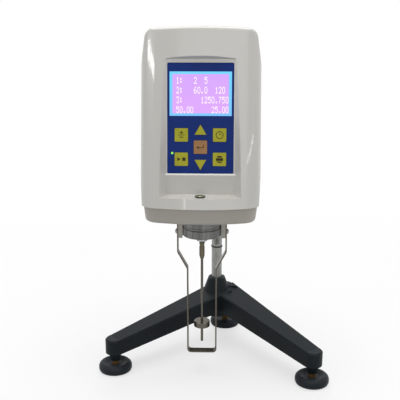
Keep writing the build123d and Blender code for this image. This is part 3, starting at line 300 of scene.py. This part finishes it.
# nodes whose look differs from that of their slot
studRadius = 0.0041
ownFinish = {
    # the collar's strong light and dark bands are painted reflection of a dark surround
    "collar": turnedMetal("collarAlloy", linear(106, 107, 105), 0.34, groove=0.0004,
                          stretch=(1, 1, 0.05), bandToneAndReflection=0.32),
    "guard_pads": turnedMetal("padAlloy", linear(140, 139, 132), 0.4),
    "spindle": turnedMetal("spindleSteel", linear(100, 96, 88), 0.25),
    "spindle_coupling": turnedMetal("couplingBronze", linear(104, 98, 82), 0.3),
}
for node in ("foot_left", "foot_right", "foot_rear"):
    low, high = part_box(node)
    middle = [(low[k] + high[k]) / 2 for k in (0, 1)]
    ownFinish[node] = footPaint(node + "Paint", linear(40, 45, 50), linear(150, 120, 70),
                                middle, studRadius)
slotOf = {row["node"]: row["material_slot"] for row in frame["record"]["subparts"]}
for node, piece in cadNodes.items():
    piece.data.materials.clear()
    piece.data.materials.append(ownFinish.get(node) or finishes[slotOf[node]])
print("finishes:", len(finishes))


# places on the leaning control panel, in millimetres: side, along and out
face = {"lean": 8.8, "panelFront": 0.6, "lcdRecess": 0.4, "keyProud": 0.25}
lean = math.radians(face["lean"])
alongPanel = Vector((0, math.sin(lean), math.cos(lean)))
outOfPanel = Vector((0, -math.cos(lean), math.sin(lean)))
panelMiddle = (Vector(panelBox[0]) + Vector(panelBox[1])) / 2
panelMiddle += outOfPanel * face["panelFront"] * mm


def panelPlace(side, along, out):
    return panelMiddle + mm * (Vector((side, 0, 0)) + alongPanel * along + outOfPanel * out)


def addPiece(name, mesh, material, body):
    piece = bpy.data.objects.new(name, mesh)
    bpy.context.scene.collection.objects.link(piece)
    mesh.materials.clear()
    mesh.materials.append(material)
    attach(piece, body)
    return piece


def closeMesh(build, name):
    bmesh.ops.remove_doubles(build, verts=build.verts, dist=1e-7)
    bmesh.ops.recalc_face_normals(build, faces=build.faces)
    mesh = bpy.data.meshes.new(name)
    build.to_mesh(mesh)
    build.free()
    return mesh


# Geometry Nodes helpers
def startTree(name, inputs):
    tree = bpy.data.node_groups.new(name, "GeometryNodeTree")
    tree.interface.new_socket("Geometry", in_out="INPUT", socket_type="NodeSocketGeometry")
    for label, kind, value in inputs:
        socket = tree.interface.new_socket(label, in_out="INPUT", socket_type=kind)
        socket.default_value = value
    tree.interface.new_socket("Geometry", in_out="OUTPUT", socket_type="NodeSocketGeometry")
    return tree, tree.nodes.new("NodeGroupInput"), tree.nodes.new("NodeGroupOutput")


def addNode(tree, kind, links=(), **settings):
    node = tree.nodes.new(kind)
    for name, value in settings.items():
        setattr(node, name, value)
    for socket, source in links:
        if hasattr(source, "is_output"):
            tree.links.new(source, node.inputs[socket])
        else:
            node.inputs[socket].default_value = source
    return node


def endTree(tree, result, geometry, material):
    real = addNode(tree, "GeometryNodeRealizeInstances", [("Geometry", geometry)])
    painted = addNode(tree, "GeometryNodeSetMaterial",
                      [("Geometry", real.outputs[0]), ("Material", material)])
    tree.links.new(painted.outputs[0], result.inputs[0])


def pointsMesh(name, places, facings=None):
    mesh = bpy.data.meshes.new(name)
    mesh.from_pydata([tuple(p) for p in places], [], [])
    if facings:
        attribute = mesh.attributes.new("facing", "FLOAT_VECTOR", "POINT")
        for item, value in zip(attribute.data, facings):
            item.vector = value
    return mesh


def growTree(name, host, tree, values):
    # runs the tree on the host mesh and gives the plain mesh back
    carrier = bpy.data.objects.new(name, host)
    bpy.context.scene.collection.objects.link(carrier)
    modifier = carrier.modifiers.new(name, "NODES")
    modifier.node_group = tree
    sockets = {item.name: item.identifier for item in tree.interface.items_tree
               if item.in_out == "INPUT"}
    for label, value in values.items():
        modifier[sockets[label]] = value
    bpy.context.view_layer.update()
    shown = carrier.evaluated_get(bpy.context.evaluated_depsgraph_get())
    mesh = bpy.data.meshes.new_from_object(shown)
    carrier.modifiers.remove(modifier)
    bpy.data.objects.remove(carrier)
    return mesh


# screws: a domed head with a six-sided socket on a plain shank
def screwTree(material):
    tree, source, result = startTree("screws", [
        ("Head Radius", "NodeSocketFloat", 0.003), ("Head Height", "NodeSocketFloat", 0.002),
        ("Dome", "NodeSocketFloat", 0.008), ("Socket Radius", "NodeSocketFloat", 0.0015),
        ("Socket Depth", "NodeSocketFloat", 0.001), ("Shank Radius", "NodeSocketFloat", 0.0015),
        ("Shank Length", "NodeSocketFloat", 0.006)])
    read = source.outputs

    def combine(operation, first, second):
        node = addNode(tree, "ShaderNodeMath", [(0, first), (1, second)], operation=operation)
        return node.outputs[0]

    def column(radius, length, middle, sides):
        body = addNode(tree, "GeometryNodeMeshCylinder",
                       [("Vertices", sides), ("Radius", radius), ("Depth", length)])
        place = addNode(tree, "ShaderNodeCombineXYZ", [("Z", middle)])
        moved = addNode(tree, "GeometryNodeTransform",
                        [("Geometry", body.outputs["Mesh"]), ("Translation", place.outputs[0])])
        return moved.outputs[0]

    halfHead = combine("MULTIPLY", read["Head Height"], 0.5)
    head = column(read["Head Radius"], read["Head Height"], halfHead, 48)
    ball = addNode(tree, "GeometryNodeMeshUVSphere",
                   [("Segments", 48), ("Rings", 48), ("Radius", read["Dome"])])
    ballMiddle = addNode(tree, "ShaderNodeCombineXYZ",
                         [("Z", combine("SUBTRACT", read["Head Height"], read["Dome"]))])
    dome = addNode(tree, "GeometryNodeTransform",
                   [("Geometry", ball.outputs["Mesh"]), ("Translation", ballMiddle.outputs[0])])
    rounded = addNode(tree, "GeometryNodeMeshBoolean", operation="INTERSECT", solver="EXACT")
    tree.links.new(head, rounded.inputs["Mesh 2"])
    tree.links.new(dome.outputs[0], rounded.inputs["Mesh 2"])
    hexagon = column(read["Socket Radius"], combine("MULTIPLY", read["Socket Depth"], 2.0),
                     read["Head Height"], 6)
    cut = addNode(tree, "GeometryNodeMeshBoolean", operation="DIFFERENCE", solver="EXACT")
    tree.links.new(rounded.outputs["Mesh"], cut.inputs["Mesh 1"])
    tree.links.new(hexagon, cut.inputs["Mesh 2"])
    shank = column(read["Shank Radius"], read["Shank Length"],
                   combine("MULTIPLY", read["Shank Length"], -0.5), 32)
    screw = addNode(tree, "GeometryNodeJoinGeometry")
    tree.links.new(cut.outputs["Mesh"], screw.inputs[0])
    tree.links.new(shank, screw.inputs[0])
    facing = addNode(tree, "GeometryNodeInputNamedAttribute", [("Name", "facing")],
                     data_type="FLOAT_VECTOR")
    turn = addNode(tree, "FunctionNodeAlignRotationToVector", [("Vector", facing.outputs[0])],
                   axis="Z")
    placed = addNode(tree, "GeometryNodeInstanceOnPoints",
                     [("Points", read["Geometry"]), ("Instance", screw.outputs[0]),
                      ("Rotation", turn.outputs[0])])
    endTree(tree, result, placed.outputs[0], material)
    return tree


screwNodes = screwTree(finishes["screw_steel"])
axis = (Vector(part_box("spindle")[0]) + Vector(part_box("spindle")[1])) / 2
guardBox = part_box("guard")
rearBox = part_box("rear_shell")
# sizes in millimetres
screwSets = {
    "guard_screws": {"head": 5.8, "height": 2.4, "dome": 3.9, "socket": 2.5, "deep": 1.2,
                     "shank": 3.0, "length": 5.6},
    "shell_screws": {"head": 7.0, "height": 2.0, "dome": 9.0, "socket": 3.0, "deep": 1.2,
                     "shank": 4.0, "length": 8.0},
    "flange_screws": {"head": 7.0, "height": 3.0, "dome": 6.0, "socket": 3.4, "deep": 1.6,
                      "shank": 4.0, "length": 11.0},
}
guardScrews = {"height": 172.6}
shellScrews = {"side": 44.0, "low": 262.0, "high": 372.0, "sunk": 2.0}
flangeScrews = {"circle": 33.0, "height": 299.0, "behind": 6.0}


def flangeSpot(turn):
    across = math.cos(turn) * flangeScrews["circle"] / 2 * mm
    up = (flangeScrews["height"] + math.sin(turn) * flangeScrews["circle"] / 2) * mm
    return Vector((axis.x + across, rearBox[1][1] + flangeScrews["behind"] * mm, up))


spots = {
    "guard_screws": [(Vector((guardBox[side][0], axis.y, guardScrews["height"] * mm)),
                      (-1 + 2 * side, 0, 0)) for side in (0, 1)],
    "shell_screws": [(Vector((axis.x + side * shellScrews["side"] * mm,
                              rearBox[1][1] - shellScrews["sunk"] * mm,
                              shellScrews[level] * mm)), (0, 1, 0))
                     for side in (-1, 1) for level in ("low", "high")],
    "flange_screws": [(flangeSpot(math.pi * quarter / 4), (0, 1, 0)) for quarter in (1, 3, 5, 7)],
}
for node, size in screwSets.items():
    host = pointsMesh(node + "Spots", [s[0] for s in spots[node]], [s[1] for s in spots[node]])
    mesh = growTree(node + "Grown", host, screwNodes, {
        "Head Radius": size["head"] / 2 * mm, "Head Height": size["height"] * mm,
        "Dome": size["dome"] * mm,
        "Socket Radius": size["socket"] / 2 * mm, "Socket Depth": size["deep"] * mm,
        "Shank Radius": size["shank"] / 2 * mm, "Shank Length": size["length"] * mm})
    piece = addPiece(node + "Heads", mesh, finishes["screw_steel"], "head")
    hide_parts(node)
print("screws grown")


# display: rows of plain numbers, lit dot by dot
glyphs = {
    "0": "0E11111111110E", "1": "040C040404040E", "2": "0E11010204081F", "3": "1F02040201110E",
    "4": "02060A121F0202", "5": "1F101E0101110E", "6": "0608101E11110E", "7": "1F010204080808",
    "8": "0E11110E11110E", "9": "0E11110F01020C", ":": "000C0C000C0C00", ".": "00000000000C0C",
}
display = {
    "rows": [" 1:   2  5      ", " 2:   60.0  120 ", " 3:     1250.750", " 50.00     25.00"],
    "rowLevels": [37.6, 28.0, 18.3, 8.6], "columnPitch": 3.52, "startAcross": 0.6,
    "dotAcross": 0.56, "dotUp": 0.94, "dotWidth": 0.52, "dotHeight": 0.9, "dotRise": 0.04,
    "glowLow": 0.31, "glowHigh": 0.35,
}


def dotTree(material):
    tree, source, result = startTree("displayDots", [
        ("Dot Width", "NodeSocketFloat", 0.0005), ("Dot Height", "NodeSocketFloat", 0.0009),
        ("Dot Rise", "NodeSocketFloat", 0.00004), ("Tilt", "NodeSocketFloat", 1.4)])
    read = source.outputs
    size = addNode(tree, "ShaderNodeCombineXYZ",
                   [("X", read["Dot Width"]), ("Y", read["Dot Height"]), ("Z", read["Dot Rise"])])
    dot = addNode(tree, "GeometryNodeMeshCube", [("Size", size.outputs[0])])
    angles = addNode(tree, "ShaderNodeCombineXYZ", [("X", read["Tilt"])])
    turn = addNode(tree, "FunctionNodeEulerToRotation", [(0, angles.outputs[0])])
    placed = addNode(tree, "GeometryNodeInstanceOnPoints",
                     [("Points", read["Geometry"]), ("Instance", dot.outputs["Mesh"]),
                      ("Rotation", turn.outputs[0])])
    endTree(tree, result, placed.outputs[0], material)
    return tree


def litDots():
    places = []
    for row, text in enumerate(display["rows"]):
        for column, letter in enumerate(text):
            pattern = glyphs.get(letter)
            if not pattern:
                continue
            left = (column - len(text) // 2) * display["columnPitch"] + display["startAcross"]
            for line in range(7):
                bits = int(pattern[2 * line:2 * line + 2], 16)
                for bit in range(5):
                    if bits >> (4 - bit) & 1:
                        level = display["rowLevels"][row] + (3 - line) * display["dotUp"]
                        places.append(panelPlace(left + bit * display["dotAcross"], level,
                                                 -face["lcdRecess"] + display["dotRise"] / 2))
    return places


dotGlow = litDisplay("displayWhite", linear(255, 255, 255), linear(252, 246, 255),
                     display["glowLow"], display["glowHigh"], 1.0)
dots = growTree("displayDots", pointsMesh("dotSpots", litDots()), dotTree(dotGlow), {
    "Dot Width": display["dotWidth"] * mm, "Dot Height": display["dotHeight"] * mm,
    "Dot Rise": display["dotRise"] * mm, "Tilt": math.radians(90) - lean})
addPiece("displayNumbers", dots, dotGlow, "head")
print("display numbers:", len(dots.polygons), "faces")


# key marks: thin printed shapes on each key, in millimetres from the key's middle
def bar(left, low, right, high):
    return [[(left, low), (right, low), (right, high), (left, high)]]


def ring(x, y, radius, width, count=28):
    cells = []
    for k in range(count):
        a, b = 2 * math.pi * k / count, 2 * math.pi * (k + 1) / count
        corners = ((radius, a), (radius, b), (radius - width, b), (radius - width, a))
        cells.append([(x + r * math.cos(t), y + r * math.sin(t)) for r, t in corners])
    return cells


keyInk = printedFilm("keyInk", linear(58, 50, 30), 0.45)
keyMarks = {
    # plus and minus
    "key_upper_left": {"middle": (-19.2, -16.35), "shapes":
                       bar(-1.9, 1.9, 1.9, 2.7) + bar(-0.4, 0.5, 0.4, 4.1)
                       + bar(-3.4, -0.35, 3.4, 0.15) + bar(-1.9, -2.7, 1.9, -1.9)},
    # clock
    "key_upper_right": {"middle": (19.2, -16.35), "shapes":
                        ring(0, 0, 3.9, 0.7) + bar(-0.3, 0, 0.3, 2.6) + bar(0.3, 0, 2.0, 0.6)},
    # return arrow
    "key_enter": {"middle": (0.0, -28.55), "shapes":
                  bar(2.6, -0.2, 3.4, 2.6) + bar(-2.2, -0.8, 3.4, -0.1)
                  + [[(-4.0, -0.45), (-1.8, -2.0), (-1.8, 1.1)]]},
    # run and stop
    "key_lower_left": {"middle": (-19.2, -40.7), "shapes":
                       [[(-4.0, -2.0), (-0.6, 0), (-4.0, 2.0)]] + bar(1.0, -1.7, 4.3, 1.7)},
    # printer
    "key_lower_right": {"middle": (19.2, -40.7), "shapes":
                        bar(-3.6, -1.6, 3.6, 1.2) + bar(-2.3, 1.7, 2.3, 3.4)
                        + bar(-2.3, -3.4, 2.3, -2.1)},
}
markRise = 0.03


def printMark(name, middle, shapes):
    build = bmesh.new()
    for shape in shapes:
        low, high = ([build.verts.new(panelPlace(middle[0] + x, middle[1] + y, out))
                      for x, y in shape]
                     for out in (face["keyProud"], face["keyProud"] + markRise))
        build.faces.new(list(reversed(low)))
        build.faces.new(high)
        for k in range(len(shape)):
            n = (k + 1) % len(shape)
            build.faces.new((low[k], low[n], high[n], high[k]))
    bmesh.ops.recalc_face_normals(build, faces=build.faces)
    mesh = bpy.data.meshes.new(name)
    build.to_mesh(mesh)
    build.free()
    return mesh


for key, mark in keyMarks.items():
    mesh = printMark(key + "Mark", mark["middle"], mark["shapes"])
    addPiece(key + "Mark", mesh, keyInk, key + "_body")
print("key marks printed")


# spirit level: a bubble and an etched circle on the vial
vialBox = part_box("level_vial")
vialTop = (Vector(vialBox[0]) + Vector(vialBox[1])) / 2
vialTop.z = vialBox[1][2]
bubble = {"across": 3.0, "tall": 0.5, "circle": 5.0, "line": 0.35, "rise": 0.04}
build = bmesh.new()
bmesh.ops.create_uvsphere(build, u_segments=32, v_segments=16, radius=bubble["across"] / 2 * mm)
for vert in build.verts:
    vert.co.z *= bubble["tall"] / bubble["across"]
    vert.co += vialTop
bubbleFinish = clearVial("bubbleGlass", linear(228, 240, 190))
addPiece("levelBubble", closeMesh(build, "levelBubble"), bubbleFinish, "head")
build = bmesh.new()
for cell in ring(0, 0, bubble["circle"] / 2, bubble["line"], 48):
    low, high = ([build.verts.new(vialTop + Vector((x, y, up)) * mm) for x, y in cell]
                 for up in (0, bubble["rise"]))
    build.faces.new(list(reversed(low)))
    build.faces.new(high)
    for k in (0, 2):
        build.faces.new((low[k], low[k + 1], high[k + 1], high[k]))
addPiece("levelCircle", closeMesh(build, "levelCircle"), keyInk, "head")
print("spirit level done")


# floor, light and camera
def directRays(tree):
    # 1 for the rays that show the white backdrop: camera, glossy and transmission rays
    rays = tree.nodes.new("ShaderNodeLightPath")
    result = rays.outputs["Is Camera Ray"]
    for kind in ("Is Glossy Ray", "Is Transmission Ray"):
        either = tree.nodes.new("ShaderNodeMath")
        either.operation = "MAXIMUM"
        tree.links.new(result, either.inputs[0])
        tree.links.new(rays.outputs[kind], either.inputs[1])
        result = either.outputs[0]
    return result


floorSize = 6.0
build = bmesh.new()
bmesh.ops.create_grid(build, x_segments=4, y_segments=4, size=floorSize)
floorMesh = bpy.data.meshes.new("floor")
build.to_mesh(floorMesh)
build.free()
floor = bpy.data.objects.new("floor", floorMesh)
bpy.context.scene.collection.objects.link(floor)
floorFinish = bpy.data.materials.new("floorWhite")
floorFinish.use_nodes = True
floorTree = floorFinish.node_tree
floorShader = floorTree.nodes["Principled BSDF"]
floorShader.inputs["Roughness"].default_value = 0.9
floorShader.inputs["Specular IOR Level"].default_value = 0.0
direct = directRays(floorTree)
# white where it is seen; the light it throws back on the object stays low
floorTree.links.new(tint(floorTree, direct, (0.42, 0.42, 0.42), (0.93, 0.93, 0.93)),
                    floorShader.inputs["Base Color"])
glow = floorTree.nodes.new("ShaderNodeEmission")
blend = floorTree.nodes.new("ShaderNodeMixShader")
# the glow that hides the horizon is full far out and partial near the object, which
# leaves the shadow
place = floorTree.nodes.new("ShaderNodeTexCoord")
far = floorTree.nodes.new("ShaderNodeVectorMath")
far.operation = "LENGTH"
floorTree.links.new(place.outputs["Object"], far.inputs[0])
share = floorTree.nodes.new("ShaderNodeMath")
share.operation = "MULTIPLY"
floorTree.links.new(spread(floorTree, far.outputs["Value"], 0.62, 1.0, 0.25, 0.8), share.inputs[1])
floorTree.links.new(direct, share.inputs[0])
floorTree.links.new(share.outputs[0], blend.inputs["Fac"])
floorTree.links.new(floorShader.outputs[0], blend.inputs[1])
floorTree.links.new(glow.outputs[0], blend.inputs[2])
floorTree.links.new(blend.outputs[0], floorTree.nodes["Material Output"].inputs["Surface"])
floorMesh.materials.append(floorFinish)

world = bpy.data.worlds.new("studio")
bpy.context.scene.world = world
world.use_nodes = True
worldTree = world.node_tree
worldTree.nodes["Background"].inputs["Color"].default_value = (1, 1, 1, 1)
worldTree.links.new(spread(worldTree, directRays(worldTree), 0.22, 1.0, 0, 1),
                    worldTree.nodes["Background"].inputs["Strength"])

# lamps are placed from a target by their bearing, left of the front, and their height angle
lamps = {
    # thin strips and a small patch, for the highlights on the glossy shell
    "streakLamp": {"aim": (0.0, -0.1, 0.36), "left": 62, "up": 16, "away": 1.2,
                   "size": (0.85, 0.055), "roll": 8, "power": 1.7},
    "glintLamp": {"aim": (0.0, -0.1, 0.26), "left": -54, "up": 10.5, "away": 1.3,
                  "size": (0.9, 0.018), "roll": -5, "power": 0.3},
    "chinLamp": {"aim": (-0.027, -0.118, 0.228), "left": 12.3, "up": 11.0, "away": 1.0,
                 "size": (0.022, 0.07), "roll": 0, "power": 0.02},
    # broad lamps, for the light itself
    "frontLamp": {"aim": (0.0, -0.1, 0.25), "left": -10, "up": 27, "away": 1.7,
                  "size": (1.7, 1.2), "roll": 0, "power": 5.2},
    "topLamp": {"aim": (0.0, -0.05, 0.25), "left": 0, "up": 89, "away": 1.2,
                "size": (1.7, 1.2), "roll": 0, "power": 16.0},
    "sideLamp": {"aim": (0.0, -0.05, 0.25), "left": -92, "up": 14, "away": 1.5,
                 "size": (1.2, 1.0), "roll": 0, "power": 3.2},
    "rearLamp": {"aim": (0.0, 0.0, 0.2), "left": 172, "up": 25, "away": 1.6,
                 "size": (1.2, 0.9), "roll": 0, "power": 8.0},
}
for name, lamp in lamps.items():
    light = bpy.data.lights.new(name, "AREA")
    light.shape = "RECTANGLE"
    light.size, light.size_y = lamp["size"]
    light.energy = lamp["power"]
    left, up = math.radians(lamp["left"]), math.radians(lamp["up"])
    aim = Vector((math.sin(left) * math.cos(up), math.cos(left) * math.cos(up), -math.sin(up)))
    stand = bpy.data.objects.new(name, light)
    stand.location = Vector(lamp["aim"]) - aim * lamp["away"]
    turn = aim.to_track_quat("-Z", "Y") @ Quaternion((0, 0, 1), math.radians(lamp["roll"]))
    stand.rotation_euler = turn.to_euler()
    # the fills light the sides without drawing their own edges on the gloss
    stand.visible_glossy = name not in ("sideLamp", "rearLamp")
    bpy.context.scene.collection.objects.link(stand)

view = {"place": (0.00718, -0.802, 0.4154), "pitch": 14.95, "yaw": 1.6, "lens": 64.35}
camera = bpy.data.cameras.new("camera")
camera.lens = view["lens"]
camera.sensor_width = 36.0
camera.clip_start = 0.01
cameraStand = bpy.data.objects.new("camera", camera)
cameraStand.location = view["place"]
cameraStand.rotation_euler = (math.radians(90 - view["pitch"]), 0, math.radians(view["yaw"]))
bpy.context.scene.collection.objects.link(cameraStand)
bpy.context.scene.camera = cameraStand
bpy.context.scene.view_settings.view_transform = "Standard"
print("floor, lamps and camera ready")
